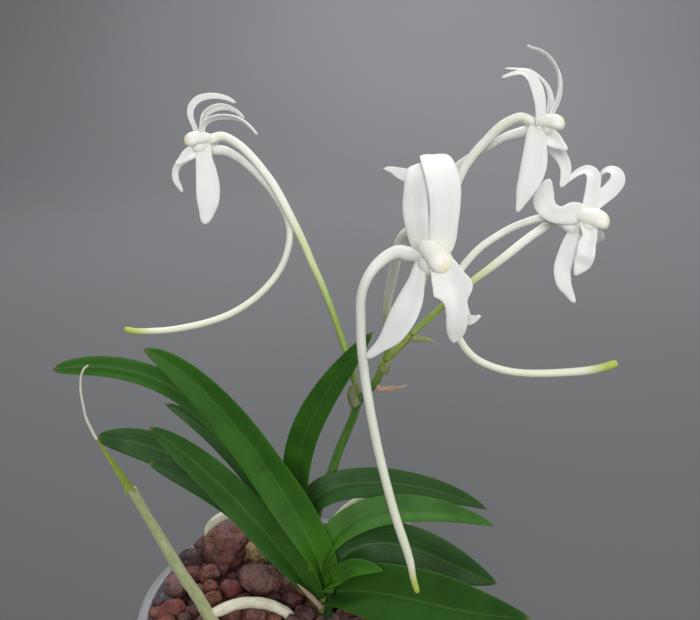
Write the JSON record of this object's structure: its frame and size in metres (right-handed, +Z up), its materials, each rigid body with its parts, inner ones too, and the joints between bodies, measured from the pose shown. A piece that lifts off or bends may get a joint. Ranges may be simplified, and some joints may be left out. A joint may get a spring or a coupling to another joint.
{
  "type": "potted wind orchid",
  "caption": "Small flowering wind orchid in lava pebbles in a round translucent pot: folded strap leaves, arching roots and white long-spurred flowers.",
  "frame": {"origin": "middle of the pot's underside, on the surface it stands on", "axes": "+Z up, +X towards the side where most flowers hang, -Y towards the front"},
  "size_m": [0.105, 0.0671, 0.1775],
  "materials": {
    "pot_plastic": "thin translucent milky nursery-pot plastic, satin",
    "lava_stone": "rough porous lava, reddish brown to maroon, with a few tan stones",
    "stem_green": "smooth living green stem, satin",
    "leaf_green": "waxy dark green leaf, glossy, lighter keel",
    "root_velamen": "matt whitish velamen with a greenish tint",
    "dry_bract": "thin dry papery bract, matt",
    "flower_stalk": "white to yellow-green flower stalk, satin",
    "petal_white": "soft white tepal, satin with faint translucency",
    "column_cream": "cream-white waxy column"
  },
  "bodies": {
    "root": {"aerial_root": "root_velamen", "back_stem": "stem_green", "bract_dry": "dry_bract", "bract_node": "dry_bract", "bract_sheath": "dry_bract", "bract_tip": "dry_bract", "dry_sheath": "dry_bract", "flower_front_column": "column_cream", "flower_front_dorsal_sepal": "petal_white", "flower_front_left_lateral_sepal": "petal_white", "flower_front_left_petal": "petal_white", "flower_front_lip_and_spur": "petal_white", "flower_front_right_lateral_sepal": "petal_white", "flower_front_right_petal": "petal_white", "flower_left_column": "column_cream", "flower_left_dorsal_sepal": "petal_white", "flower_left_left_lateral_sepal": "petal_white", "flower_left_left_petal": "petal_white", "flower_left_lip_and_spur": "petal_white", "flower_left_right_lateral_sepal": "petal_white", "flower_left_right_petal": "petal_white", "flower_right_column": "column_cream", "flower_right_dorsal_sepal": "petal_white", "flower_right_left_lateral_sepal": "petal_white", "flower_right_left_petal": "petal_white", "flower_right_lip_and_spur": "petal_white", "flower_right_right_lateral_sepal": "petal_white", "flower_right_right_petal": "petal_white", "flower_stem": "stem_green", "flower_top_column": "column_cream", "flower_top_dorsal_sepal": "petal_white", "flower_top_left_lateral_sepal": "petal_white", "flower_top_left_petal": "petal_white", "flower_top_lip_and_spur": "petal_white", "flower_top_right_lateral_sepal": "petal_white", "flower_top_right_petal": "petal_white", "front_stem": "stem_green", "leaf_left_back_lower": "leaf_green", "leaf_left_back_middle": "leaf_green", "leaf_left_back_upper": "leaf_green", "leaf_left_front_lower": "leaf_green", "leaf_left_front_middle": "leaf_green", "leaf_left_front_upper": "leaf_green", "leaf_right_back": "leaf_green", "leaf_right_lower": "leaf_green", "leaf_right_middle": "leaf_green", "leaf_right_upper": "leaf_green", "leaf_upright": "leaf_green", "pebble_bed": "lava_stone", "pedicel_front": "flower_stalk", "pedicel_left": "flower_stalk", "pedicel_right": "flower_stalk", "pedicel_top": "flower_stalk", "pot": "pot_plastic", "root_left": "root_velamen", "root_right": "root_velamen", "side_shoot": "leaf_green", "stone_brown": "lava_stone", "stone_pink": "lava_stone", "stone_tan": "lava_stone"}
  },
  "joints": []
}
